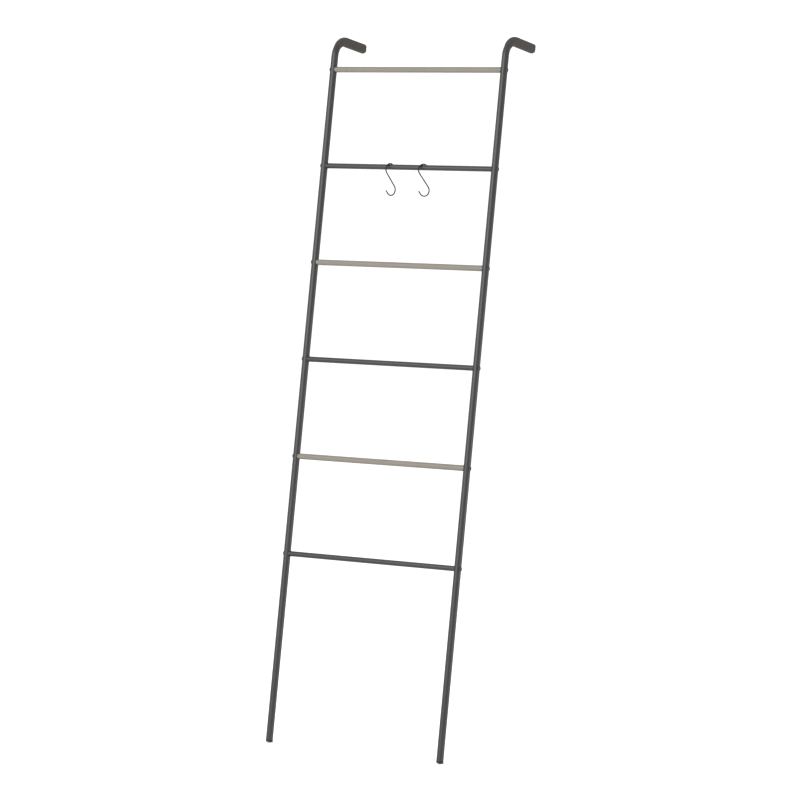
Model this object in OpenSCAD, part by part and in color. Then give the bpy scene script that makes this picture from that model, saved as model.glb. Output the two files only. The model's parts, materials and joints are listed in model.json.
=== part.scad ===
// Ladder towel rack that stands on the floor and leans on a wall.
// Two bent steel rails, six rungs (wood and steel by turns), rubber sleeves on the
// two wall arms, plugs in the feet, and two loose S-hooks on the second rung.
//
// Frame: +X along the rungs to the right rail, +Y towards the wall, +Z up.
// The rack is drawn upright in its own rail frame (rail along +Z, arm along +Y, the
// end of the foot at z = 0) and is then leaned back and stood on the floor.

/* [Overall] */
// Height of the arms' axis above the end of the foot, along the rail
arm_height = 1593; // [1585:1:1700]
// Distance between the two rails' axes
rail_spacing = 440; // [400:1:500]
// Angle between the rails and the vertical
lean = 10.65; // [8:0.05:14]

/* [Rails] */
// Outer diameter of the rail tube
rail_d = 16; // [15:0.5:18]
// Wall thickness of the rail tube
rail_wall = 1.5; // [1.2:0.1:2]
// Radius of the bend into the arm, on the tube's axis
bend_r = 40; // [36:1:50]
// Reach of the arm from the rail's axis to the tip of its sleeve
arm_reach = 120.5; // [110:0.5:150]

/* [Rungs] */
// Height of the top rung's axis above the end of the foot, along the rail
top_rung_height = 1523; // [1500:1:1530]
// Distance between neighbouring rungs, along the rail
rung_pitch = 220; // [200:1:240]
// Diameter of the turned wooden rungs
wood_rung_d = 13; // [12.5:0.1:14]
// Outer diameter of the steel rung tube
steel_rung_d = 12; // [11.6:0.1:13]
// Wall thickness of the steel rung tube
steel_rung_wall = 1.2; // [1:0.1:1.4]

/* [Wall sleeves] */
// Outer diameter of the rubber sleeve along the arm
sleeve_d = 22.4; // [21:0.1:25]
// Thickness of the rubber over the tube at the sleeve's two flat sides
sleeve_side = 1; // [0.8:0.1:1.4]
// Thickness of the sleeve's closed end
sleeve_end = 4.5; // [3:0.5:8]
// Radius of the rounded edge at the sleeve's tip
sleeve_edge = 2.5; // [1:0.25:4]
// Where the sleeve starts, as an angle around the bend
sleeve_start = 36; // [30:1:50]
// Thickness of the sleeve's lip where it starts
sleeve_lip = 0.4; // [0.3:0.1:1]

/* [Feet] */
// Thickness of the foot plug below the end of the tube
foot_flange = 4; // [3:0.5:8]
// Length of the foot plug's stem inside the tube
foot_stem = 18; // [12:1:25]

/* [Screws and inserts] */
// Diameter of the screw's shank
shank_d = 5.9; // [5.5:0.1:5.9]
// Length of the screw under its head
shank_length = 30; // [28:1:32]
// Diameter of the screw's domed head
head_d = 10.5; // [10:0.1:11]
// Height of the domed head
head_height = 2.4; // [2.2:0.1:2.8]
// Width across flats of the hexagonal socket
socket_width = 4; // [3:0.5:4]
// Distance from the rail's axis to the flat seat under a head
seat_distance = 7.2; // [7:0.1:7.4]
// Outer diameter of the threaded insert in a wooden rung
insert_d = 8; // [7.5:0.1:8.4]
// Length of the threaded insert
insert_length = 12; // [10:1:14]

/* [S-hooks] */
// Diameter of the hook's wire
wire_d = 2.8; // [2.2:0.1:3.2]
// Radius of both loops, on the wire's axis
loop_r = 12.8; // [12.2:0.1:14]
// Height of the upper loop's centre above the hook's middle
loop_rise = 22.8; // [21:0.1:26]
// Distance of each loop's centre from the upright line through the hook's middle
loop_shift = 1.2; // [0.6:0.1:2]
// Where a loop runs into its straight tail, as an angle above the level
tail_angle = 36.5; // [30:0.5:45]
// Length of the straight tail at each end of the wire
tail_length = 8.2; // [5:0.1:10]
// Where the left hook hangs along the second rung
left_hook_x = -46; // [-120:1:-30]
// How far the left hook is turned about the vertical
left_hook_turn = 17; // [0:1:40]
// Where the right hook hangs along the second rung
right_hook_x = 40; // [30:1:120]
// How far the right hook is turned about the vertical
right_hook_turn = 27; // [0:1:40]

/* [Hidden] */
$fn = 96;

// The two sides of the rack, as the sign of X
LEFT = -1;
RIGHT = 1;
SIDES = [LEFT, RIGHT];
RUNG_COUNT = 6;
HOOK_RUNG = 2;
HOOK_NAMES = ["left_hook", "right_hook"];
hook_places = [[left_hook_x, left_hook_turn], [right_hook_x, right_hook_turn]];

// Gap between pieces that are fixed together, so that their faces don't overlap
FIXED_GAP = 0.02;
// Radial gap between a piece and the hole that it is pushed or glued into
PUSH_GAP = 0.05;
// Gap between a hook's wire and the top of the rung that it hangs on
HOOK_GAP = 0.3;
// Overshoot of a cutting solid past the face that it cuts
CUT = 1;
// How far a straight part of the hook runs into a loop, and how much thinner it is
WIRE_OVERLAP = 0.3;
WIRE_STEP = 0.01;
// How far the plan that trims the sleeve's sides runs past the sleeve's flat tip
PLAN_CLEAR = 0.05;
// Thickness and facets of the thin discs that the tapered part of the sleeve is made from
DISC_THICKNESS = 0.05;
DISC_FACETS = 32;

rail_r = rail_d / 2;
rail_bore_r = rail_r - rail_wall;
sleeve_r = sleeve_d / 2;
sleeve_half_width = rail_r + sleeve_side;
arm_end = arm_reach - sleeve_end;
bend_centre_height = arm_height - bend_r;
SLEEVE_STEPS = 6;
sleeve_step = (90 - sleeve_start) / SLEEVE_STEPS;

// Radial room round a screw's shank in the rail, and round its head on the seat
SHANK_ROOM = 0.25;
HEAD_ROOM = 0.3;
thread_r = shank_d / 2 + PUSH_GAP;
screw_hole_r = shank_d / 2 + SHANK_ROOM;
seat_r = head_d / 2 + HEAD_ROOM;
head_rim = 0.8;
head_sagitta = head_height - head_rim;
head_dome_r = (pow(head_d / 2, 2) + pow(head_sagitta, 2)) / (2 * head_sagitta);
socket_depth = 1.6;
shank_chamfer = 0.8;

// Depth of an insert or plug below the deepest point of the rung's saddle cut
insert_inset = 0.6;
// Reach of the narrow bore for the screw's tip into a wooden rung, from the rail's surface
pilot_length = 18;
insert_groove_depth = 0.5;
INSERT_GROOVES = 4;
// Width of a groove, and the plain stretch before it, as shares of the groove pitch
GROOVE_SHARE = 0.3;
GROOVE_LEAD = 0.35;
plug_length = 14;

foot_edge = 1.5;
foot_rib_height = 0.5;
foot_rib_width = 1.2;
foot_rib_r = rail_bore_r - FIXED_GAP;
foot_stem_r = rail_bore_r - foot_rib_height;
foot_core_r = 4;
FOOT_RIBS = 3;

wire_r = wire_d / 2;
// The stem is the straight line through the hook's middle that touches both loops. Angles
// are measured round the upper loop's centre, from the level line towards its tail
hook_centre_distance = sqrt(pow(loop_rise, 2) + pow(loop_shift, 2));
hook_tangent_angle = 270 + atan(loop_shift / loop_rise) - acos(loop_r / hook_centre_distance);
hook_stem_length = 2 * sqrt(pow(hook_centre_distance, 2) - pow(loop_r, 2));
// Distance between the rung's axis and the upper loop's centre, and the drop of the hook's
// middle below the rung's axis
hook_slack = loop_r - wire_r - steel_rung_d / 2 - HOOK_GAP;
hook_drop = loop_rise + sqrt(pow(hook_slack, 2) - pow(loop_shift, 2));

// Standing the leaned rack on the floor, with its box centred on X = Y = 0
foot_lift = rail_r * sin(lean);
front_y = -rail_r * cos(lean);
back_y = (arm_reach - sleeve_edge) * cos(lean) + (arm_height + sleeve_r - sleeve_edge) * sin(lean) + sleeve_edge;
centre_y = (front_y + back_y) / 2;

STEEL = "#3d3d3f";
WOOD = "#a49d92";
RUBBER = "#45423e";
BLACK = "#1f1f20";
BRASS = "#b3904a";
ZINC = "#a9abad";

function side_name(side) = side == LEFT ? "left" : "right";
function rung_height(n) = top_rung_height - (n - 1) * rung_pitch;
function is_wood(n) = n % 2 == 1;
function rung_name(n) = str("rung_", n, is_wood(n) ? "_wood" : "_steel");
function rung_r(n) = (is_wood(n) ? wood_rung_d : steel_rung_d) / 2;
function screw_name(n, side) = str("rung_", n, "_", side_name(side), "_screw");
function holder_name(n, side) = str("rung_", n, "_", side_name(side), is_wood(n) ? "_insert" : "_plug");
function rail_name(side) = str(side_name(side), "_rail");
function sleeve_name(side) = str(side_name(side), "_wall_sleeve");
function foot_name(side) = str(side_name(side), "_foot_plug");
// Outer radius of the sleeve at an angle around the bend: a straight taper from lip to arm
function sleeve_r_at(angle) =
    let (lip_r = rail_r + sleeve_lip)
    lip_r + (sleeve_r - lip_r) * (angle - sleeve_start) / (90 - sleeve_start);

// ---- Placing ----

// Leans the upright rack back and stands the rear rims of its feet on the floor
module leaned() {
    translate([0, -centre_y, foot_lift])
        rotate([-lean, 0, 0])
            children();
}

module at_rail(side) {
    translate([side * rail_spacing / 2, 0, 0])
        children();
}

module at_rung(n) {
    translate([0, 0, rung_height(n)])
        children();
}

// Turns local +Z to point away from the rack's middle, or towards it
module outward(side) {
    rotate([0, side * 90, 0])
        children();
}

module inward(side) {
    outward(-side)
        children();
}

// Local +Z runs along the arm from the end of the bend
module along_arm() {
    translate([0, bend_r, arm_height])
        rotate([-90, 0, 0])
            children();
}

// Local XY is the plane of the bend: local +X points to the rail, +Y up
module in_bend_plane() {
    translate([0, bend_r, bend_centre_height])
        rotate([90, 0, -90])
            children();
}

// ---- Rails ----

module tube_ring() {
    difference() {
        circle(r = rail_r);
        circle(r = rail_bore_r);
    }
}

module bent_tube() {
    translate([0, 0, foot_flange])
        linear_extrude(height = bend_centre_height - foot_flange)
            tube_ring();
    in_bend_plane()
        rotate_extrude(angle = 90)
            translate([bend_r, 0])
                tube_ring();
    along_arm()
        linear_extrude(height = arm_end - bend_r)
            tube_ring();
}

// Hole through both walls for the screw, and the flat seat that its head rests on
module screw_cut(side) {
    outward(side) {
        cylinder(r = screw_hole_r, h = rail_d + 2 * CUT, center = true);
        translate([0, 0, seat_distance])
            cylinder(r = seat_r, h = rail_r);
    }
}

module rail(side) {
    color(STEEL)
        leaned()
            at_rail(side)
                difference() {
                    bent_tube();
                    for (n = [1 : RUNG_COUNT])
                        at_rung(n)
                            screw_cut(side);
                }
}

// ---- Wall sleeves ----

// Outline of the straight part of the sleeve before its sides are flattened, turned about
// the arm's axis
module sleeve_profile() {
    straight = arm_reach - bend_r;
    square([sleeve_r, straight - sleeve_edge]);
    square([sleeve_r - sleeve_edge, straight]);
    translate([sleeve_r - sleeve_edge, straight - sleeve_edge])
        circle(r = sleeve_edge);
}

// Thin disc across the sleeve at an angle around the bend
module sleeve_disc(angle) {
    translate([0, bend_r, bend_centre_height])
        rotate([-angle, 0, 0])
            translate([0, -bend_r, 0])
                cylinder(r = sleeve_r_at(angle), h = DISC_THICKNESS, center = true, $fn = DISC_FACETS);
}

// The sleeve seen from above: two flat sides, and rounded corners at the tip
module sleeve_plan() {
    end = arm_reach + PLAN_CLEAR;
    corner_x = sleeve_half_width - sleeve_edge;
    translate([-sleeve_half_width, -sleeve_r])
        square([2 * sleeve_half_width, sleeve_r + end - sleeve_edge]);
    translate([-corner_x, 0])
        square([2 * corner_x, end]);
    for (side = SIDES)
        translate([side * corner_x, end - sleeve_edge])
            circle(r = sleeve_edge);
}

// The tube's outer shape inside the sleeve
module sleeve_core() {
    core_r = rail_r + FIXED_GAP;
    in_bend_plane()
        rotate_extrude(angle = 90)
            translate([bend_r, 0])
                circle(r = core_r);
    along_arm()
        cylinder(r = core_r, h = arm_end - bend_r);
}

module wall_sleeve(side) {
    color(RUBBER)
        leaned()
            at_rail(side)
                difference() {
                    intersection() {
                        union() {
                            along_arm()
                                rotate_extrude()
                                    sleeve_profile();
                            for (i = [0 : SLEEVE_STEPS - 1])
                                hull() {
                                    sleeve_disc(sleeve_start + i * sleeve_step);
                                    sleeve_disc(sleeve_start + (i + 1) * sleeve_step);
                                }
                        }
                        translate([0, 0, bend_centre_height])
                            linear_extrude(height = bend_r + sleeve_r + CUT)
                                sleeve_plan();
                    }
                    sleeve_core();
                }
}

// ---- Feet ----

// Outline of the foot plug: rounded flange, stem, and ribs that grip the tube
module foot_profile() {
    translate([0, foot_edge])
        square([rail_r, foot_flange - foot_edge]);
    square([rail_r - foot_edge, foot_flange]);
    translate([rail_r - foot_edge, foot_edge])
        circle(r = foot_edge);
    square([foot_stem_r, foot_flange + foot_stem]);
    for (i = [1 : FOOT_RIBS])
        translate([0, foot_flange + i * foot_stem / (FOOT_RIBS + 1)])
            square([foot_rib_r, foot_rib_width]);
}

module foot_plug(side) {
    color(BLACK)
        leaned()
            at_rail(side)
                difference() {
                    rotate_extrude()
                        foot_profile();
                    translate([0, 0, foot_flange])
                        cylinder(r = foot_core_r, h = foot_stem + CUT);
                }
}

// ---- Rungs ----

// A round bar between the rails, each end cut to a saddle that fits the rail
module saddled_bar(radius) {
    difference() {
        outward(RIGHT)
            cylinder(r = radius, h = rail_spacing, center = true);
        for (side = SIDES)
            at_rail(side)
                cylinder(r = rail_r + FIXED_GAP, h = 2 * rail_d, center = true);
    }
}

module wood_rung(n) {
    color(WOOD)
        leaned()
            at_rung(n)
                difference() {
                    saddled_bar(rung_r(n));
                    for (side = SIDES)
                        at_rail(side)
                            inward(side) {
                                cylinder(r = insert_d / 2, h = rail_r + insert_inset + insert_length);
                                cylinder(r = screw_hole_r, h = rail_r + pilot_length);
                            }
                }
}

module steel_rung(n) {
    color(STEEL)
        leaned()
            at_rung(n)
                difference() {
                    saddled_bar(rung_r(n));
                    outward(RIGHT)
                        cylinder(r = rung_r(n) - steel_rung_wall, h = rail_spacing, center = true);
                }
}

module rung(n) {
    if (is_wood(n)) wood_rung(n);
    if (!is_wood(n)) steel_rung(n);
}

// ---- Screws, inserts and threaded plugs ----

// The screw along local Z; the underside of its head is at z = 0
module screw_body() {
    shank_r = shank_d / 2;
    intersection() {
        translate([0, 0, head_height - head_dome_r])
            sphere(r = head_dome_r);
        cylinder(d = head_d, h = head_height);
    }
    translate([0, 0, shank_chamfer - shank_length])
        cylinder(r = shank_r, h = shank_length);
    translate([0, 0, -shank_length])
        cylinder(r1 = shank_r - shank_chamfer, r2 = shank_r, h = shank_chamfer);
}

module screw(n, side) {
    color(BLACK)
        leaned()
            at_rung(n)
                at_rail(side)
                    outward(side)
                        translate([0, 0, seat_distance])
                            difference() {
                                screw_body();
                                translate([0, 0, head_height - socket_depth])
                                    cylinder(d = socket_width / cos(30), h = socket_depth + CUT, $fn = 6);
                            }
}

// Threaded insert that is glued into the end of a wooden rung, with grooves for the glue
module insert(n, side) {
    groove_pitch = insert_length / INSERT_GROOVES;
    outer_r = insert_d / 2 - PUSH_GAP;
    color(BRASS)
        leaned()
            at_rung(n)
                at_rail(side)
                    inward(side)
                        translate([0, 0, rail_r + insert_inset])
                            rotate_extrude()
                                difference() {
                                    translate([thread_r, 0])
                                        square([outer_r - thread_r, insert_length]);
                                    for (i = [0 : INSERT_GROOVES - 1])
                                        translate([outer_r - insert_groove_depth, (i + GROOVE_LEAD) * groove_pitch])
                                            square([CUT, GROOVE_SHARE * groove_pitch]);
                                }
}

// Threaded plug that is pressed into the end of a steel rung
module threaded_plug(n, side) {
    color(ZINC)
        leaned()
            at_rung(n)
                at_rail(side)
                    inward(side)
                        translate([0, 0, rail_r + insert_inset])
                            difference() {
                                cylinder(r = rung_r(n) - steel_rung_wall - PUSH_GAP, h = plug_length);
                                translate([0, 0, -CUT])
                                    cylinder(r = thread_r, h = plug_length + 2 * CUT);
                            }
}

module screw_holder(n, side) {
    if (is_wood(n)) insert(n, side);
    if (!is_wood(n)) threaded_plug(n, side);
}

// ---- S-hooks ----

// Half of the hook: a loop from the stem round to its straight tail. Local XY is the
// hook's plane, with the hook's middle at the origin and local +Y up
module hook_half() {
    translate([-loop_shift, loop_rise, 0]) {
        rotate([0, 0, tail_angle])
            rotate_extrude(angle = hook_tangent_angle - tail_angle)
                translate([loop_r, 0])
                    circle(r = wire_r);
        rotate([0, 0, tail_angle])
            translate([loop_r, WIRE_OVERLAP, 0])
                rotate([90, 0, 0])
                    cylinder(r = wire_r - WIRE_STEP, h = tail_length + WIRE_OVERLAP);
    }
}

// The straight stem between the two loops
module hook_stem() {
    length = hook_stem_length + 2 * WIRE_OVERLAP;
    rotate([0, 0, hook_tangent_angle])
        rotate([90, 0, 0])
            cylinder(r = wire_r - WIRE_STEP, h = length, center = true);
}

module s_hook(place) {
    color(STEEL)
        leaned()
            translate([place[0], 0, rung_height(HOOK_RUNG)])
                rotate([lean, 0, 0])
                    rotate([0, 0, -place[1]])
                        translate([0, 0, -hook_drop])
                            rotate([90, 0, 90]) {
                                hook_half();
                                hook_stem();
                                rotate([0, 0, 180])
                                    hook_half();
                            }
}

// ---- The rack ----

for (side = SIDES) {
    rail(side);
    wall_sleeve(side);
    foot_plug(side);
}
for (n = [1 : RUNG_COUNT]) {
    rung(n);
    for (side = SIDES) {
        screw(n, side);
        screw_holder(n, side);
    }
}
for (i = [0 : len(HOOK_NAMES) - 1]) {
    s_hook(hook_places[i]);
}
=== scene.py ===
"""Looks of the ladder towel rack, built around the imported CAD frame.

Lengths are in metres, in the frame of the CAD model: +X along the rungs, +Y towards the wall
and +Z up. Places come from the CAD nodes' boxes, the mounts and the joints of the record.
"""
import json
import math

import bmesh
import bpy
import numpy as np
from mathutils import Matrix, Vector


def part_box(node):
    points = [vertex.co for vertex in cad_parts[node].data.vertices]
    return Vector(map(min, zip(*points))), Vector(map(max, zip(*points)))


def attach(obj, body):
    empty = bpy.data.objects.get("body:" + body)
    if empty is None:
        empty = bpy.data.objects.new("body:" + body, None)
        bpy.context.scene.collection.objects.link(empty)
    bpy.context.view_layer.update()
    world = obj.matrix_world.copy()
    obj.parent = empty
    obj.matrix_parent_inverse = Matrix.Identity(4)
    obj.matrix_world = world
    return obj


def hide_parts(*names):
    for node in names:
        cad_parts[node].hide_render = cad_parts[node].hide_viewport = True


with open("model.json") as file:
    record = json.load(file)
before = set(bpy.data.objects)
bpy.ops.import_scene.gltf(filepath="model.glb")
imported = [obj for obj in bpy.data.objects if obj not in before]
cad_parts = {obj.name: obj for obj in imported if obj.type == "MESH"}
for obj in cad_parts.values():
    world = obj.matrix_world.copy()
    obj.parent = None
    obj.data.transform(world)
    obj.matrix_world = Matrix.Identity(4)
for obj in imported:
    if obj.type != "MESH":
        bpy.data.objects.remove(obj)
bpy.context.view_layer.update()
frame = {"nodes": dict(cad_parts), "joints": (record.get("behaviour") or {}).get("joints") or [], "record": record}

# ---- Driving dimensions ----

MM = 0.001
EDGE = 0.3 * MM                 # rounding of a cut or deburred edge
FIXED_GAP = 0.02 * MM           # gap between pieces that are fixed together

# Rails
RAIL_R = 8.0 * MM
RAIL_WALL = 1.5 * MM
BEND_R = 40.0 * MM              # of the rail's axis

# Rungs. Depths are measured from the rail's axis.
STEEL_WALL = 1.2 * MM
WOOD_EDGE = 2.5 * EDGE          # rounding of a wooden rung's ends
CORNER_SHARE = 0.3              # of a rounding: how far its middle lies inside each face
INSERT_BORE_R = 4.0 * MM
INSERT_DEPTH = 20.6 * MM
PILOT_R = 3.2 * MM
PILOT_DEPTH = 26.0 * MM

# Sleeves over the arms
SLEEVE_R = 11.2 * MM
SLEEVE_HALF_WIDTH = 9.0 * MM    # from the arm's axis to the sleeve's flat sides
SLEEVE_CORNER = 16              # the higher, the sharper the edges of the flat sides
SLEEVE_START = math.radians(36)  # place of the lip, round the bend
SLEEVE_LIP = 0.4 * MM
LIP_CHAMFER = SLEEVE_LIP / 3
SLEEVE_END = 4.5 * MM           # solid rubber past the end of the tube
SLEEVE_EDGE = 2.5 * MM
TIP_SHARES = (0.35, 0.7)        # sizes of the rings inside the tip's flat face

# Foot plugs
FOOT_FLANGE = 4.0 * MM
FOOT_EDGE = 1.5 * MM
FOOT_FACE_R = 3.0 * MM          # a ring inside the flat face
FOOT_STEM_R = 6.0 * MM
FOOT_STEM_LENGTH = 18.0 * MM
FOOT_CORE_R = 4.0 * MM
FOOT_RIBS = 3
FOOT_RIB_WIDTH = 1.2 * MM

# Button-head screws. Insets are measured inwards from the head's side.
SEAT_DISTANCE = 7.2 * MM        # from the rail's axis to the flat under the head
SEAT_R = 5.55 * MM
SCREW_HOLE_R = 3.2 * MM
HEAD_R = 5.25 * MM
HEAD_HEIGHT = 2.4 * MM
HEAD_RIM = 0.8 * MM             # height at which the dome meets the head's side
HEAD_CHAMFER = 0.2 * MM         # on the underside
RIM_DROP = 0.15 * MM            # from the rim to the top of the head's straight side
RIM_INSETS = (0.05 * MM, 0.18 * MM, 0.4 * MM)
DOME_INSET = 0.8 * MM           # of the first evenly spaced ring of the dome
SOCKET_WIDTH = 4.0 * MM         # across the flats
SOCKET_DEPTH = 1.6 * MM         # below the top of the dome
SOCKET_MARGIN = 0.12 * MM       # from the socket's corners to the edge of the dome
FLARE_WIDTH = 0.1 * MM          # extra width of the socket's mouth
FLARE_TOP = 0.12 * MM           # the flare's two ends, below the edge of the dome
FLARE_BOTTOM = 0.25 * MM
SOCKET_POINT = 0.5 * MM         # depth of the drilled cone in the socket's floor
SHANK_R = 2.95 * MM
SHANK_LENGTH = 30.0 * MM
SHANK_CHAMFER = 0.8 * MM

# Hooks
WIRE_R = 1.4 * MM
WIRE_END = 0.5 * WIRE_R         # depth of the rounding of the wire's ends
WIRE_END_SHARES = (0.3, 0.6, 0.85, 0.97, 1.0)   # sizes of the rings of that rounding
LOOP_R = 12.8 * MM
LOOP_RISE = 22.8 * MM           # from the hook's middle up to the upper loop's centre
LOOP_SHIFT = 1.2 * MM           # from the hook's middle to that centre, away from the wall
TAIL_ANGLE = math.radians(36.5)  # place round the loop where the straight tail starts
TAIL_LENGTH = 8.2 * MM
HOOK_SLACK = 5.1 * MM           # from the rung's axis to the upper loop's centre

# Fineness of the meshes
TUBE_POINTS = 72                # points round a rail, rung or sleeve
WIRE_POINTS = 24
SCREW_POINTS = 48
RAIL_STEP = 25 * MM             # longest distances between neighbouring rings
BEND_STEP = 1.4 * MM
ARM_STEP = 12 * MM
SLEEVE_STEP = 8 * MM
TAPER_STEP = 1 * MM
SLEEVE_BORE_STEP = 3 * MM
RUNG_STEP = 12 * MM
RUNG_BORE_STEP = 50 * MM
SLEEVE_EDGE_STEPS = 10
FOOT_EDGE_STEPS = 8
DOME_STEPS = 7
TAIL_STEPS = 6
LOOP_STEPS = 52
SHARP_ANGLE = 30                # degrees: edges sharper than this look sharp
DRILLED_SHARP_ANGLE = 20
WIRE_SHARP_ANGLE = 50

# Studio
WORLD_RADIANCE = 1.2
KEY_LIGHT = dict(azimuth=-13, elevation=25, distance=4.0, width=3.2, height=3.2, radiance=4.5)
SIDE_LIGHT = dict(azimuth=104, elevation=-5, distance=4.0, width=2.0, height=1.2, radiance=4.6)
FLOOR_HALF_WIDTH = 60.0
CAMERA_AZIMUTH = math.radians(30.45)
CAMERA_PITCH = math.radians(6.031)
CAMERA_DISTANCE = 7.2024
CAMERA_LENS = 146.0             # in millimetres, like the sensor's width
CAMERA_SENSOR = 36.0
AIM_HEIGHT = 0.8                # along the rails, of the point that the camera would face,
AIM_RIGHT = 0.02858             # but for these two shifts of the camera
AIM_UP = -0.01836

# ---- Colours ----

COAT_DARK = (0.005, 0.005, 0.0054)
COAT_LIGHT = (0.009, 0.009, 0.0093)
COAT_SPECKLE = (0.06, 0.06, 0.062)
COAT_WORN = (0.11, 0.11, 0.112)
HOOK_DARK = (0.002, 0.002, 0.0022)
HOOK_LIGHT = (0.004, 0.004, 0.0042)
WOOD_OLIVE = (0.142, 0.133, 0.108)
WOOD_PINK = (0.156, 0.134, 0.116)
WOOD_LIGHT = (0.195, 0.177, 0.15)
WOOD_DARK = (0.095, 0.08, 0.066)
WOOD_PORE = (0.065, 0.054, 0.043)
SLEEVE_DARK = (0.024, 0.021, 0.0165)
SLEEVE_LIGHT = (0.033, 0.028, 0.023)
SLEEVE_WORN = (0.062, 0.056, 0.05)
FOOT_DARK = (0.008, 0.008, 0.008)
FOOT_LIGHT = (0.014, 0.014, 0.014)
FOOT_WORN = (0.04, 0.04, 0.041)
OXIDE = (0.006, 0.006, 0.0065)
OXIDE_STAIN = (0.012, 0.011, 0.0105)
OXIDE_WORN = (0.12, 0.12, 0.125)
BRASS = (0.56, 0.40, 0.16)
BRASS_STAIN = (0.34, 0.22, 0.08)
BRASS_WORN = (0.72, 0.56, 0.28)
ZINC = (0.55, 0.56, 0.57)
ZINC_STAIN = (0.36, 0.37, 0.36)
ZINC_WORN = (0.68, 0.69, 0.7)
# painted shade: colour of the dark corners where pieces meet
PAINTED_CORNER_SHADE = (0.002, 0.002, 0.002)
FLOOR_DARK = (0.93, 0.93, 0.93)
FLOOR_LIGHT = (0.95, 0.95, 0.95)

# ---- Places, from the frame ----

mounts = {mount["name"]: mount for mount in frame["record"]["mounts"]}
joints = {joint["name"]: joint for joint in frame["joints"]}
SIDES = {"left": -1, "right": 1}
ALONG = Vector((1, 0, 0))                              # along a rung, to the right
UP = -Vector(mounts["left_foot_face"]["axis"])         # along a rail, to its top
OUT = Vector(mounts["left_arm_face"]["axis"])          # along an arm, towards the wall
WORLD_UP = Vector((0, 0, 1))

foot = {side: Vector(mounts[side + "_foot_face"]["pos_m"]) for side in SIDES}
arm_tip = {side: Vector(mounts[side + "_arm_face"]["pos_m"]) for side in SIDES}
foot_to_tip = arm_tip["left"] - foot["left"]
ARM_HEIGHT = foot_to_tip.dot(UP)
ARM_REACH = foot_to_tip.dot(OUT)
HALF_WIDTH = foot["right"].x                           # from the rack's middle to a rail's axis

STRAIGHT = ARM_HEIGHT - BEND_R                         # length of the rail below the bend
BEND_LENGTH = BEND_R * math.pi / 2
ARM_START = STRAIGHT + BEND_LENGTH                     # lengths along the rail's axis, from the foot
TIP = ARM_START + ARM_REACH - BEND_R
TUBE_END = TIP - SLEEVE_END

RUNGS = sorted(name for name in frame["nodes"] if name.endswith(("_wood", "_steel")))
RUNG_STRAIGHT = HALF_WIDTH - 2 * RAIL_R                # half of a rung's length between its saddle ends
HOOK_JOINTS = {"left_hook": "left_hook_swing", "right_hook": "right_hook_swing"}


def rung_centre(node):
    """Middle of a rung's axis."""
    low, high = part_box(node)
    return (low + high) / 2


def rung_radius(node):
    """Outer radius of a rung."""
    low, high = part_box(node)
    return (high.z - low.z) / 2


def rail_station(side, length):
    """Point of a rail's axis at a length from the foot, and the unit vector there that points
    away from the centre of the bend."""
    if length < STRAIGHT:
        return foot[side] + UP * length, -OUT
    if length < ARM_START:
        angle = (length - STRAIGHT) / BEND_R
        away = math.sin(angle) * UP - math.cos(angle) * OUT
        return foot[side] + UP * STRAIGHT + OUT * BEND_R + away * BEND_R, away
    return foot[side] + UP * ARM_HEIGHT + OUT * (BEND_R + length - ARM_START), UP.copy()


# ---- Mesh building ----

def spread(start, end, count):
    """Values from start to end, in a number of equal steps."""
    return [start + (end - start) * i / count for i in range(count + 1)]


def stops(start, end, step):
    """Evenly spaced lengths from start to end, no further apart than step."""
    return spread(start, end, math.ceil((end - start) / step))


def arc(centre, radius, start, end, steps):
    """Points of a flat arc, as pairs, between two angles in degrees."""
    angles = [math.radians(angle) for angle in spread(start, end, steps)]
    return [(centre[0] + radius * math.cos(t), centre[1] + radius * math.sin(t)) for t in angles]


def ring(centre, side, up, radius, count=TUBE_POINTS):
    """Points of a circle in the plane of two unit vectors. A circle of no radius is one point."""
    if radius <= 0:
        return [centre.copy()]
    angles = [math.tau * k / count for k in range(count)]
    return [centre + radius * (math.cos(t) * side + math.sin(t) * up) for t in angles]


def tidy(mesh, sharp):
    """Turns a mesh's faces outwards and shades it smooth, except at edges sharper than an angle."""
    shape = bmesh.new()
    shape.from_mesh(mesh)
    bmesh.ops.recalc_face_normals(shape, faces=shape.faces)
    shape.to_mesh(mesh)
    shape.free()
    mesh.shade_smooth()
    mesh.set_sharp_from_angle(angle=math.radians(sharp))


def loft(name, rings, closed=False, sharp=SHARP_ANGLE):
    """Mesh object between neighbouring rings of points, smooth except at edges sharper than an
    angle in degrees. A ring of one point closes an end, and closed joins the last ring to the first."""
    points = [point for each in rings for point in each]
    starts = [0]
    for each in rings:
        starts.append(starts[-1] + len(each))
    faces = []
    for i in range(len(rings) if closed else len(rings) - 1):
        j = (i + 1) % len(rings)
        for k in range(max(len(rings[i]), len(rings[j]))):
            here = [starts[i] + (k + step) % len(rings[i]) for step in (0, 1)]
            there = [starts[j] + (k + step) % len(rings[j]) for step in (1, 0)]
            faces.append(list(dict.fromkeys(here + there)))
    mesh = bpy.data.meshes.new(name)
    mesh.from_pydata(points, [], faces)
    tidy(mesh, sharp)
    piece = bpy.data.objects.new(name, mesh)
    bpy.context.scene.collection.objects.link(piece)
    return piece


def lathe(name, origin, axis, side, profile, count=TUBE_POINTS):
    """Solid turned about an axis, from (radius, height) pairs that start and end on the axis."""
    up = axis.cross(side)
    return loft(name, [ring(origin + axis * height, side, up, radius, count) for radius, height in profile])


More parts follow.
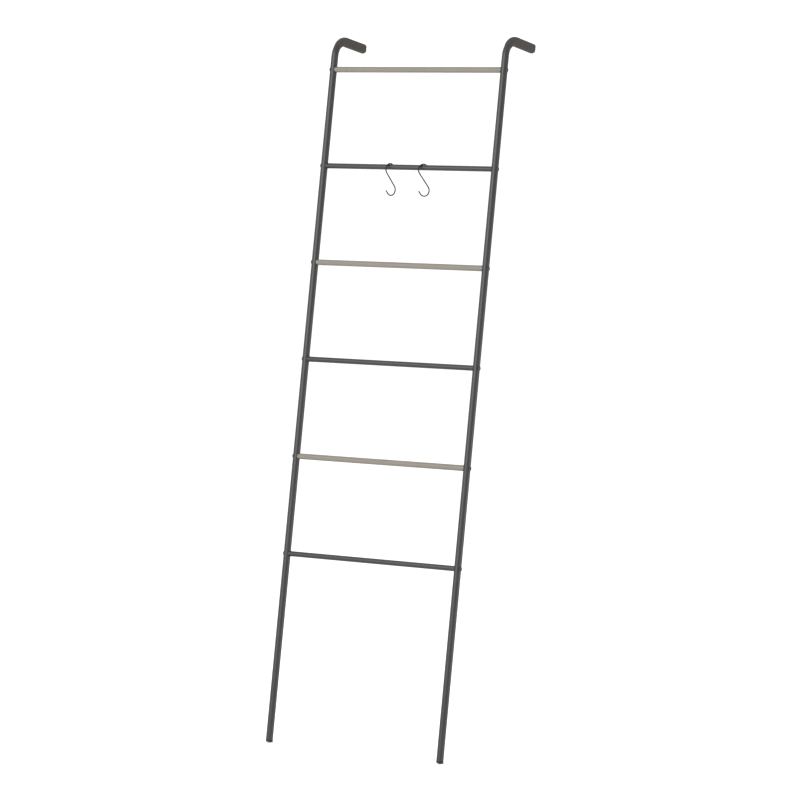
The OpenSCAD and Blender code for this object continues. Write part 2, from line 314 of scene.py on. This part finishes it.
def cut(piece, cutters):
    """Takes closed cutter objects out of a piece, and removes them."""
    for cutter in cutters:
        modifier = piece.modifiers.new("cut", "BOOLEAN")
        modifier.operation = "DIFFERENCE"
        modifier.solver = "EXACT"
        modifier.object = cutter
    bpy.context.view_layer.update()
    evaluated = piece.evaluated_get(bpy.context.evaluated_depsgraph_get())
    cut_mesh = bpy.data.meshes.new_from_object(evaluated)
    piece.modifiers.clear()
    piece.data = cut_mesh
    for cutter in cutters:
        bpy.data.objects.remove(cutter)


def finish_piece(piece, material, body, node):
    """Gives a piece its material, and lets it stand for a CAD node on its body."""
    piece.data.materials.clear()
    piece.data.materials.append(material)
    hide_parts(node)
    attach(piece, body)


# ---- Rails, sleeves and feet ----

def make_rail(side):
    """Bent tube with rounded cut ends, drilled through for the screws, with a flat under each head."""
    def tube_ring(length, radius):
        centre, away = rail_station(side, length)
        return ring(centre, ALONG, away, radius)

    start = FOOT_FLANGE + FIXED_GAP
    bore_r = RAIL_R - RAIL_WALL
    lengths = stops(start + EDGE, STRAIGHT, RAIL_STEP)
    lengths += stops(STRAIGHT, ARM_START, BEND_STEP)[1:]
    lengths += stops(ARM_START, TUBE_END - EDGE, ARM_STEP)[1:]
    outer = [tube_ring(length, RAIL_R) for length in lengths]
    inner = [tube_ring(length, bore_r) for length in reversed(lengths)]
    first = [tube_ring(start, bore_r + EDGE), tube_ring(start, RAIL_R - EDGE)]
    last = [tube_ring(TUBE_END, RAIL_R - EDGE), tube_ring(TUBE_END, bore_r + EDGE)]
    rail = loft(side + "_rail_tube", first + outer + last + inner, closed=True)

    outwards = ALONG * SIDES[side]
    outside = 2 * RAIL_R
    hole = [
        (0, -outside),
        (SCREW_HOLE_R, -outside),
        (SCREW_HOLE_R, SEAT_DISTANCE),
        (SEAT_R, SEAT_DISTANCE),
        (SEAT_R, outside),
        (0, outside),
    ]
    cutters = []
    for node in RUNGS:
        centre = rung_centre(node) + outwards * HALF_WIDTH
        cutters.append(lathe("cutter", centre, outwards, OUT, hole, SCREW_POINTS))
    cut(rail, cutters)
    tidy(rail.data, DRILLED_SHARP_ANGLE)
    return rail


def make_sleeve(side):
    """Moulded sleeve: a thin lip on the bend, a taper up to the arm, and a closed tip."""
    start = STRAIGHT + SLEEVE_START * BEND_R
    bore_r = RAIL_R + FIXED_GAP
    lip_r = RAIL_R + SLEEVE_LIP

    def bore_ring(length, radius):
        centre, away = rail_station(side, length)
        return ring(centre, ALONG, away, radius)

    def outer_ring(length, radius=SLEEVE_R, inset=0.0, share=1.0):
        """Circle with two flattened sides, set inwards or shrunk to a share of its size."""
        centre, away = rail_station(side, length)
        to_circle = radius ** -SLEEVE_CORNER
        points = []
        for k in range(TUBE_POINTS):
            x, y = math.cos(math.tau * k / TUBE_POINTS), math.sin(math.tau * k / TUBE_POINTS)
            to_flat = (abs(x) / SLEEVE_HALF_WIDTH) ** SLEEVE_CORNER
            distance = ((to_circle + to_flat) ** (-1 / SLEEVE_CORNER) - inset) * share
            points.append(centre + distance * (x * ALONG + y * away))
        return points

    def taper_ring(length):
        """Outline on the bend, which grows from the lip to the full size."""
        share = min(1.0, (length - start) / (ARM_START - start))
        return outer_ring(length, lip_r + (SLEEVE_R - lip_r) * share)

    edge = arc((SLEEVE_EDGE, TIP - SLEEVE_EDGE), SLEEVE_EDGE, 90, 180, SLEEVE_EDGE_STEPS)
    arm_lengths = stops(ARM_START, TIP - SLEEVE_EDGE, SLEEVE_STEP)[:-1]
    taper_lengths = stops(start + EDGE, ARM_START, TAPER_STEP)[:-1]
    bore_lengths = stops(start + EDGE, TUBE_END, SLEEVE_BORE_STEP)
    rings = [bore_ring(TIP, 0)]
    rings += [outer_ring(TIP, inset=SLEEVE_EDGE, share=share) for share in TIP_SHARES]
    rings += [outer_ring(length, inset=inset) for inset, length in edge]
    rings += [outer_ring(length) for length in reversed(arm_lengths)]
    rings += [taper_ring(length) for length in reversed(taper_lengths)]
    rings += [bore_ring(start, bore_r + LIP_CHAMFER)]
    rings += [bore_ring(length, bore_r) for length in bore_lengths]
    rings += [bore_ring(TUBE_END, 0)]
    return loft(side + "_sleeve_moulding", rings)


def make_foot(side):
    """Foot plug: flange with a rounded rim, and a hollow ribbed stem inside the tube."""
    rib_r = RAIL_R - RAIL_WALL - FIXED_GAP
    profile = [(0, 0), (FOOT_FACE_R, 0)]
    profile += arc((RAIL_R - FOOT_EDGE, FOOT_EDGE), FOOT_EDGE, -90, 0, FOOT_EDGE_STEPS)
    profile += [(RAIL_R, FOOT_FLANGE - EDGE), (RAIL_R - EDGE, FOOT_FLANGE), (FOOT_STEM_R, FOOT_FLANGE)]
    for i in range(1, FOOT_RIBS + 1):
        height = FOOT_FLANGE + i * FOOT_STEM_LENGTH / (FOOT_RIBS + 1)
        profile += [(FOOT_STEM_R, height), (rib_r, height + FOOT_RIB_WIDTH / 2)]
        profile += [(FOOT_STEM_R, height + FOOT_RIB_WIDTH)]
    top = FOOT_FLANGE + FOOT_STEM_LENGTH
    profile += [(FOOT_STEM_R, top - EDGE), (FOOT_STEM_R - EDGE, top), (FOOT_CORE_R, top)]
    profile += [(FOOT_CORE_R, FOOT_FLANGE), (0, FOOT_FLANGE)]
    return lathe(side + "_foot_cap", foot[side], UP, ALONG, profile)


# ---- Rungs and screws ----

def rung_ring(centre, radius, x):
    """Circle of a rung's section at a plain X."""
    return ring(centre + ALONG * x, OUT, UP, radius)


def saddle_ring(centre, radius, sign, inset=0.0):
    """Circle of a rung's section, pushed along X onto the rail's surface, or an inset short of it."""
    points = ring(centre, OUT, UP, radius)
    for point in points:
        across = (point - foot["left"]).dot(OUT)
        surface_x = HALF_WIDTH - math.sqrt((RAIL_R + FIXED_GAP) ** 2 - across ** 2)
        point.x = sign * surface_x - sign * inset
    return points


def make_wood_rung(node):
    """Turned dowel with saddle ends, softened edges and a stepped bore in each end."""
    centre, radius = rung_centre(node), rung_radius(node)
    corner = WOOD_EDGE * CORNER_SHARE

    def end_rings(sign):
        return [
            rung_ring(centre, 0, sign * (HALF_WIDTH - PILOT_DEPTH)),
            rung_ring(centre, PILOT_R, sign * (HALF_WIDTH - PILOT_DEPTH)),
            rung_ring(centre, PILOT_R, sign * (HALF_WIDTH - INSERT_DEPTH)),
            rung_ring(centre, INSERT_BORE_R, sign * (HALF_WIDTH - INSERT_DEPTH)),
            saddle_ring(centre, INSERT_BORE_R, sign),
            saddle_ring(centre, radius - WOOD_EDGE, sign),
            saddle_ring(centre, radius - corner, sign, corner),
            saddle_ring(centre, radius, sign, WOOD_EDGE),
        ]

    middle = [rung_ring(centre, radius, x) for x in stops(-RUNG_STRAIGHT, RUNG_STRAIGHT, RUNG_STEP)]
    return loft(node.replace("_wood", "_dowel"), end_rings(-1) + middle + end_rings(1)[::-1])


def make_steel_rung(node):
    """Tube with saddle ends and deburred edges."""
    centre, radius = rung_centre(node), rung_radius(node)
    bore_r = radius - STEEL_WALL

    def end_rings(sign):
        return [
            saddle_ring(centre, bore_r, sign, EDGE),
            saddle_ring(centre, bore_r + EDGE, sign),
            saddle_ring(centre, radius - EDGE, sign),
            saddle_ring(centre, radius, sign, EDGE),
        ]

    outer = [rung_ring(centre, radius, x) for x in stops(-RUNG_STRAIGHT, RUNG_STRAIGHT, RUNG_STEP)]
    inner = [rung_ring(centre, bore_r, x) for x in stops(-RUNG_STRAIGHT, RUNG_STRAIGHT, RUNG_BORE_STEP)]
    rings = end_rings(-1) + outer + end_rings(1)[::-1] + inner[::-1]
    return loft(node.replace("_steel", "_tube"), rings, closed=True)


def make_screw(node, side):
    """Button-head screw: domed head with a soft rim, chamfered hexagon socket and plain shank."""
    outwards = ALONG * SIDES[side]
    up = outwards.cross(OUT)
    low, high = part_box(node)
    middle = (low + high) / 2
    origin = Vector((SIDES[side] * (HALF_WIDTH + SEAT_DISTANCE), middle.y, middle.z))

    def turned(radius, height):
        return ring(origin + outwards * height, OUT, up, radius, SCREW_POINTS)

    def hexagon(width, height):
        points = []
        for k in range(SCREW_POINTS):
            angle = math.tau * k / SCREW_POINTS
            from_flat = angle % (math.pi / 3) - math.pi / 6
            distance = width / 2 / math.cos(from_flat)
            towards = math.cos(angle) * OUT + math.sin(angle) * up
            points.append(origin + outwards * height + distance * towards)
        return points

    dome_rise = HEAD_HEIGHT - HEAD_RIM
    dome_r = (HEAD_R ** 2 + dome_rise ** 2) / (2 * dome_rise)

    def dome_height(radius):
        return HEAD_HEIGHT - dome_r + math.sqrt(dome_r ** 2 - radius ** 2)

    socket_corner_r = SOCKET_WIDTH / 2 / math.cos(math.pi / 6)
    mouth_r = socket_corner_r + SOCKET_MARGIN
    mouth_height = dome_height(mouth_r)
    socket_floor = HEAD_HEIGHT - SOCKET_DEPTH
    rings = [
        turned(0, -SHANK_LENGTH),
        turned(SHANK_R - SHANK_CHAMFER, -SHANK_LENGTH),
        turned(SHANK_R, SHANK_CHAMFER - SHANK_LENGTH),
        turned(SHANK_R, 0),
        turned(HEAD_R - HEAD_CHAMFER, 0),
        turned(HEAD_R, HEAD_CHAMFER),
        turned(HEAD_R, HEAD_RIM - RIM_DROP),
    ]
    rim_radii = [HEAD_R - inset for inset in RIM_INSETS]
    dome_radii = spread(HEAD_R - DOME_INSET, mouth_r, DOME_STEPS)
    rings += [turned(radius, dome_height(radius)) for radius in rim_radii + dome_radii]
    rings += [
        hexagon(SOCKET_WIDTH + FLARE_WIDTH, mouth_height - FLARE_TOP),
        hexagon(SOCKET_WIDTH, mouth_height - FLARE_BOTTOM),
        hexagon(SOCKET_WIDTH, socket_floor),
        turned(0, socket_floor - SOCKET_POINT),
    ]
    return loft(node.replace("_screw", "_button_screw"), rings)


# ---- Hooks ----

def hook_direction(node):
    """Level unit vector in the plane that a hook lies in, pointing towards the wall."""
    points = np.array([vertex.co for vertex in frame["nodes"][node].data.vertices])
    thinnest = np.linalg.svd(points - points.mean(axis=0), full_matrices=False)[2][2]
    level = Vector(thinnest).cross(WORLD_UP).normalized()
    return level if level.y > 0 else -level


def rounded_end(rings):
    """Rounds the first end of a swept wire, without making it longer."""
    centre = sum(rings[0], Vector()) / len(rings[0])
    following = sum(rings[1], Vector()) / len(rings[1])
    inwards = (following - centre).normalized()
    made = [[centre]]
    for share in WIRE_END_SHARES:
        depth = WIRE_END * (1 - math.sqrt(1 - share ** 2))
        made.append([centre + (point - centre) * share + inwards * depth for point in rings[0]])
    return made + rings[1:]


def make_hook(node):
    """S-hook of bent wire: two loops with straight tails, a straight stem, and rounded ends.

    The upper half runs from its tail's end to the stem, round the upper loop's centre. The
    lower half is the same half turned over about the hook's middle.
    """
    level = hook_direction(node)
    x, y, z = joints[HOOK_JOINTS[node]]["pos_m"]
    drop = LOOP_RISE + math.sqrt(HOOK_SLACK ** 2 - LOOP_SHIFT ** 2)
    middle = Vector((x, y, z - drop))
    centre_angle = math.atan(LOOP_SHIFT / LOOP_RISE)
    tangent_angle = 1.5 * math.pi + centre_angle - math.acos(LOOP_R / math.hypot(LOOP_RISE, LOOP_SHIFT))

    tail = [(length, TAIL_ANGLE) for length in spread(TAIL_LENGTH, 0, TAIL_STEPS)[:-1]]
    loop = [(0, angle) for angle in spread(TAIL_ANGLE, tangent_angle, LOOP_STEPS)]
    upper = []
    for past_loop, angle in tail + loop:
        p = LOOP_R * math.cos(angle) + past_loop * math.sin(angle) - LOOP_SHIFT
        q = LOOP_R * math.sin(angle) - past_loop * math.cos(angle) + LOOP_RISE
        upper.append((p, q, angle))
    lower = [(-p, -q, angle) for p, q, angle in reversed(upper)]
    rings = []
    for p, q, angle in upper + lower:
        away = math.cos(angle) * level + math.sin(angle) * WORLD_UP
        centre = middle + level * p + WORLD_UP * q
        rings.append(ring(centre, away, level.cross(WORLD_UP), WIRE_R, WIRE_POINTS))
    rings = rounded_end(rings)
    rings = rounded_end(rings[::-1])[::-1]
    return loft(node.replace("_hook", "_s_hook"), rings, sharp=WIRE_SHARP_ANGLE)


# ---- Materials ----

MIX_FIRST = 6                   # numbers of the Mix node's colour sockets
MIX_SECOND = 7
MIX_RESULT = 2
SEED_SHIFT = (1.0, 1.7, 2.3)    # way in which a seed moves a noise
WAVE_LENGTH = 0.314             # distance between a wave texture's bands, at a scale of 1
RING_SCALE = 95.0               # puts growth rings about 3.3 mm apart
HEART_WANDER = 24 * MM          # how far the rings' centre strays from the dowel's axis
BEVEL_SAMPLES = 6
# painted shade: the dark corners between pieces come from an ambient occlusion node
SHADE_SAMPLES = 8
SHADE_REACH = 4 * MM          # how far the dark corners between pieces can spread


class Surface:
    """A material with one Principled shader, and short ways to add and join nodes to it."""

    def __init__(self, name):
        self.material = bpy.data.materials.new(name)
        self.material.use_nodes = True
        self.tree = self.material.node_tree
        self.shader = self.tree.nodes["Principled BSDF"]
        self.place = self.add("ShaderNodeTexCoord").outputs["Object"]

    def add(self, kind, sockets=None, **settings):
        """New node. Sockets are given by name or number, each as a value or as another's output."""
        node = self.tree.nodes.new(kind)
        for name, value in settings.items():
            setattr(node, name, value)
        for name, value in (sockets or {}).items():
            self.feed(node.inputs[name], value)
        return node

    def feed(self, socket, value):
        """Links another node's output to a socket, or sets the socket to a value."""
        if isinstance(value, bpy.types.NodeSocket):
            self.tree.links.new(value, socket)
        else:
            socket.default_value = value

    def noise(self, size, detail=3.0, stretch=(1, 1, 1), roughness=0.55, seed=0.0):
        """Noise whose grains are about a size across, in metres, drawn out along each axis."""
        scale = tuple(1 / (size * s) for s in stretch)
        location = tuple(seed * part for part in SEED_SHIFT)
        sockets = {"Vector": self.place, "Scale": scale, "Location": location}
        mapped = self.add("ShaderNodeMapping", sockets)
        sockets = {"Vector": mapped.outputs[0], "Scale": 1.0, "Detail": detail, "Roughness": roughness}
        return self.add("ShaderNodeTexNoise", sockets).outputs["Fac"]

    def remap(self, value, low, high, to_low=0.0, to_high=1.0):
        """Value moved from one range to another, and kept inside it."""
        sockets = {"Value": value, "From Min": low, "From Max": high, "To Min": to_low, "To Max": to_high}
        return self.add("ShaderNodeMapRange", sockets, clamp=True).outputs["Result"]

    def maths(self, operation, first, second):
        """Sum, difference or product of two values."""
        return self.add("ShaderNodeMath", {0: first, 1: second}, operation=operation).outputs[0]

    def blend(self, share, first, second):
        """Colour between two others; a share of 0 gives the first."""
        node = self.add("ShaderNodeMix", data_type="RGBA", blend_type="MIX")
        self.feed(node.inputs["Factor"], share)
        for number, value in ((MIX_FIRST, first), (MIX_SECOND, second)):
            self.feed(node.inputs[number], (*value, 1) if isinstance(value, tuple) else value)
        return node.outputs[MIX_RESULT]

    def worn_edges(self, width, grain):
        """Mask of the edges where the surface turns sharply, broken up by noise."""
        true_normal = self.add("ShaderNodeNewGeometry").outputs["Normal"]
        rounded = self.add("ShaderNodeBevel", {"Radius": width}, samples=BEVEL_SAMPLES).outputs["Normal"]
        facing = self.add("ShaderNodeVectorMath", {0: true_normal, 1: rounded}, operation="DOT_PRODUCT")
        # facing is the cosine of the angle between the two normals
        edge = self.remap(facing.outputs["Value"], low=0.995, high=0.9)
        return self.maths("MULTIPLY", edge, self.remap(grain, low=0.4, high=0.6))

    def corners(self, widest):
        """Mask of painted shade in the corners where pieces meet, from ambient occlusion. It is full
        where half of the view out is blocked, and ends where the open share of the view is widest."""
        node = self.add("ShaderNodeAmbientOcclusion", {"Distance": SHADE_REACH}, samples=SHADE_SAMPLES)
        return self.remap(node.outputs["AO"], low=widest, high=0.5)

    def finish(self, colour, roughness, height, depth):
        """Joins colour, roughness and a bump of a depth in metres to the shader."""
        sockets = {"Height": height, "Distance": depth, "Strength": 1.0}
        bump = self.add("ShaderNodeBump", sockets).outputs["Normal"]
        self.feed(self.shader.inputs["Base Color"], colour)
        self.feed(self.shader.inputs["Roughness"], roughness)
        self.feed(self.shader.inputs["Normal"], bump)
        return self.material


def coated_steel(name, dark, light, peel, smooth, rough, shine):
    """Powder coat: cloudy charcoal with a fine speckle, an orange-peel skin, rubbed edges and painted shade in
    corners.
    """
    surface = Surface(name)
    surface.feed(surface.shader.inputs["Specular IOR Level"], shine)
    clouds = surface.noise(size=peel * 14, detail=2)
    skin = surface.noise(size=peel, detail=2)
    speckle = surface.noise(size=peel * 0.3, detail=1)
    colour = surface.blend(surface.remap(clouds, low=0.3, high=0.7), dark, light)
    speckle_share = surface.remap(speckle, low=0.62, high=0.74, to_high=0.35)
    colour = surface.blend(speckle_share, colour, COAT_SPECKLE)
    rubbed = surface.worn_edges(width=0.4 * MM, grain=speckle)
    colour = surface.blend(rubbed, colour, COAT_WORN)
    # painted shade: corners where pieces meet are darkened and made rougher
    corner = surface.corners(widest=0.88)
    colour = surface.blend(corner, colour, PAINTED_CORNER_SHADE)
    unevenness = surface.maths("ADD", clouds, skin)
    roughness = surface.remap(unevenness, low=0.7, high=1.3, to_low=smooth, to_high=rough)
    roughness = surface.maths("ADD", roughness, surface.maths("MULTIPLY", corner, 0.5))
    return surface.finish(colour, roughness, height=skin, depth=0.05 * peel)


def make_wood():
    """Stained dowel: growth rings seen from the side, long fibres, pores, uneven stain and painted shade in
    corners.
    """
    surface = Surface("stained_wood")
    wander = surface.noise(size=40 * MM, detail=2, stretch=(6, 1, 1))
    fibres = surface.noise(size=0.5 * MM, detail=4, stretch=(60, 1, 1), roughness=0.65)
    pores = surface.noise(size=0.22 * MM, detail=1, stretch=(22, 1, 1), seed=3.0)
    patches = surface.noise(size=16 * MM, detail=2, stretch=(4, 1, 1), seed=7.0)

    offset = surface.maths("MULTIPLY", wander, HEART_WANDER)
    heart = surface.add("ShaderNodeCombineXYZ", {"Y": offset, "Z": offset}).outputs[0]
    moved = surface.add("ShaderNodeVectorMath", {0: surface.place, 1: heart}, operation="ADD")
    sockets = {
        "Vector": moved.outputs["Vector"],
        "Scale": RING_SCALE,
        "Distortion": 1.2,
        "Detail": 2.0,
        "Detail Scale": 1.5,
    }
    rings = surface.add("ShaderNodeTexWave", sockets, wave_type="RINGS", rings_direction="X")
    late_wood = surface.remap(rings.outputs["Fac"], low=0.45, high=1.0)
    open_pore = surface.remap(pores, low=0.64, high=0.72)
    rubbed = surface.worn_edges(width=0.8 * MM, grain=fibres)

    colour = surface.blend(surface.remap(patches, low=0.35, high=0.65), WOOD_OLIVE, WOOD_PINK)
    colour = surface.blend(surface.remap(fibres, low=0.35, high=0.7, to_high=0.4), colour, WOOD_LIGHT)
    for mask, strength, shade in (
        (late_wood, 0.45, WOOD_DARK),
        (open_pore, 0.35, WOOD_PORE),
        (rubbed, 0.35, WOOD_DARK),
    ):
        colour = surface.blend(surface.maths("MULTIPLY", mask, strength), colour, shade)
    # painted shade in the corners where the dowel meets the rails
    colour = surface.blend(surface.corners(widest=0.82), colour, PAINTED_CORNER_SHADE)
    roughness = surface.remap(fibres, low=0.3, high=0.7, to_low=0.72, to_high=0.56)
    grain = surface.maths("SUBTRACT", fibres, surface.maths("MULTIPLY", open_pore, 0.6))
    return surface.finish(colour, roughness, height=grain, depth=0.06 * MM)


def moulded(name, dark, light, worn):
    """Moulded rubber: a fine spark-eroded grain, faint dust and edges rubbed a little lighter."""
    surface = Surface(name)
    surface.feed(surface.shader.inputs["Specular IOR Level"], 0.35)
    clouds = surface.noise(size=18 * MM, detail=3)
    grain = surface.noise(size=0.45 * MM, detail=2)
    dust = surface.noise(size=3 * MM, detail=4, roughness=0.7, seed=5.0)
    colour = surface.blend(surface.remap(clouds, low=0.32, high=0.68), dark, light)
    colour = surface.blend(surface.remap(dust, low=0.55, high=0.8, to_high=0.25), colour, worn)
    colour = surface.blend(surface.worn_edges(width=0.6 * MM, grain=dust), colour, worn)
    unevenness = surface.maths("ADD", clouds, grain)
    roughness = surface.remap(unevenness, low=0.7, high=1.3, to_low=0.62, to_high=0.8)
    return surface.finish(colour, roughness, height=grain, depth=0.03 * MM)


def turned_metal(name, colour, stain, worn, metallic, pitch, smooth, rough):
    """Small turned part: fine tool lines across its axis, stains, and edges rubbed bright."""
    surface = Surface(name)
    surface.feed(surface.shader.inputs["Metallic"], metallic)
    stains = surface.noise(size=1.6 * MM, detail=3)
    grain = surface.noise(size=0.25 * MM, detail=2)
    sockets = {"Vector": surface.place, "Scale": WAVE_LENGTH / pitch, "Distortion": 0.4, "Detail": 1.0}
    lines = surface.add("ShaderNodeTexWave", sockets, wave_type="BANDS", bands_direction="X")
    shade = surface.blend(surface.remap(stains, low=0.38, high=0.68), colour, stain)
    shade = surface.blend(surface.worn_edges(width=0.25 * MM, grain=grain), shade, worn)
    unevenness = surface.maths("ADD", stains, grain)
    roughness = surface.remap(unevenness, low=0.7, high=1.3, to_low=smooth, to_high=rough)
    height = surface.maths("ADD", surface.maths("MULTIPLY", lines.outputs["Fac"], 0.5), grain)
    return surface.finish(shade, roughness, height=height, depth=0.012 * MM)


def make_floor_surface():
    """Pale studio floor: matt, with the faintest unevenness."""
    surface = Surface("pale_floor")
    clouds = surface.noise(size=0.6, detail=3)
    grain = surface.noise(size=2 * MM, detail=2)
    colour = surface.blend(surface.remap(clouds, low=0.3, high=0.7), FLOOR_DARK, FLOOR_LIGHT)
    roughness = surface.remap(grain, low=0.3, high=0.7, to_low=0.85, to_high=0.95)
    return surface.finish(colour, roughness, height=grain, depth=0.05 * MM)


powder_coat = coated_steel(
    "powder_coat", COAT_DARK, COAT_LIGHT, peel=1.3 * MM, smooth=0.36, rough=0.46, shine=0.5)
hook_coat = coated_steel(
    "hook_coat", HOOK_DARK, HOOK_LIGHT, peel=0.7 * MM, smooth=0.3, rough=0.42, shine=0.2)
stained_wood = make_wood()
moulded_rubber = moulded("moulded_rubber", SLEEVE_DARK, SLEEVE_LIGHT, SLEEVE_WORN)
foot_rubber = moulded("foot_rubber", FOOT_DARK, FOOT_LIGHT, FOOT_WORN)
black_oxide = turned_metal(
    "black_oxide", OXIDE, OXIDE_STAIN, OXIDE_WORN, metallic=0.0, pitch=0.3 * MM, smooth=0.2, rough=0.34)
turned_brass = turned_metal(
    "turned_brass", BRASS, BRASS_STAIN, BRASS_WORN, metallic=1.0, pitch=0.3 * MM, smooth=0.24, rough=0.42)
zinc_plate = turned_metal(
    "zinc_plate", ZINC, ZINC_STAIN, ZINC_WORN, metallic=1.0, pitch=0.35 * MM, smooth=0.28, rough=0.46)

# ---- The rack ----

for side in SIDES:
    finish_piece(make_rail(side), powder_coat, "rack", side + "_rail")
    finish_piece(make_sleeve(side), moulded_rubber, "rack", side + "_wall_sleeve")
    finish_piece(make_foot(side), foot_rubber, "rack", side + "_foot_plug")

for node in RUNGS:
    if node.endswith("_wood"):
        finish_piece(make_wood_rung(node), stained_wood, "rack", node)
    else:
        finish_piece(make_steel_rung(node), powder_coat, "rack", node)

for node in sorted(frame["nodes"]):
    for side in SIDES:
        if node.endswith(side + "_screw"):
            finish_piece(make_screw(node, side), black_oxide, "rack", node)
    for ending, material in (("_insert", turned_brass), ("_plug", zinc_plate)):
        if node.startswith("rung_") and node.endswith(ending):
            frame["nodes"][node].data.materials.clear()
            frame["nodes"][node].data.materials.append(material)

for node in HOOK_JOINTS:
    finish_piece(make_hook(node), hook_coat, node, node)

# ---- Studio ----

def make_floor():
    """Wide flat floor under the rack."""
    half = FLOOR_HALF_WIDTH
    mesh = bpy.data.meshes.new("floor")
    corners = [(-half, -half, 0), (half, -half, 0), (half, half, 0), (-half, half, 0)]
    mesh.from_pydata(corners, [], [(0, 1, 2, 3)])
    floor = bpy.data.objects.new("floor", mesh)
    floor.data.materials.append(make_floor_surface())
    bpy.context.scene.collection.objects.link(floor)


def make_world():
    """Even white light from all round."""
    world = bpy.data.worlds.new("studio")
    world.use_nodes = True
    background = world.node_tree.nodes["Background"]
    background.inputs["Color"].default_value = (1, 1, 1, 1)
    background.inputs["Strength"].default_value = WORLD_RADIANCE
    bpy.context.scene.world = world


def direction(azimuth, elevation):
    """Unit vector towards a light or camera, from an azimuth that is 0 at -Y and 90 at +X."""
    a, e = math.radians(azimuth), math.radians(elevation)
    return Vector((math.sin(a) * math.cos(e), -math.cos(a) * math.cos(e), math.sin(e)))


def softbox(name, azimuth, elevation, distance, width, height, radiance):
    """Soft panel of light that faces the middle of the rack, hidden from the camera."""
    middle = (foot["left"] + arm_tip["right"]) / 2
    towards = direction(azimuth, elevation)
    data = bpy.data.lights.new(name, "AREA")
    data.shape = "RECTANGLE"
    data.size = width
    data.size_y = height
    data.energy = radiance * math.pi * width * height
    lamp = bpy.data.objects.new(name, data)
    lamp.location = middle + towards * distance
    lamp.rotation_mode = "QUATERNION"
    lamp.rotation_quaternion = towards.to_track_quat("Z", "Y")
    lamp.visible_camera = False
    bpy.context.scene.collection.objects.link(lamp)


def make_camera():
    """Camera in front of the rack and to its right, looking slightly down on its middle."""
    forward = -direction(math.degrees(CAMERA_AZIMUTH), math.degrees(CAMERA_PITCH))
    right = forward.cross(WORLD_UP).normalized()
    upward = right.cross(forward)
    middle = (foot["left"] + foot["right"]) / 2 + UP * AIM_HEIGHT
    place = middle - forward * CAMERA_DISTANCE + right * AIM_RIGHT + upward * AIM_UP
    data = bpy.data.cameras.new("camera")
    data.lens = CAMERA_LENS
    data.sensor_width = CAMERA_SENSOR
    camera = bpy.data.objects.new("camera", data)
    turn = Matrix((right, upward, -forward)).transposed().to_4x4()
    camera.matrix_world = Matrix.Translation(place) @ turn
    bpy.context.scene.collection.objects.link(camera)
    bpy.context.scene.camera = camera


make_floor()
make_world()
softbox("key", **KEY_LIGHT)
softbox("side", **SIDE_LIGHT)
make_camera()
bpy.context.scene.view_settings.view_transform = "Standard"
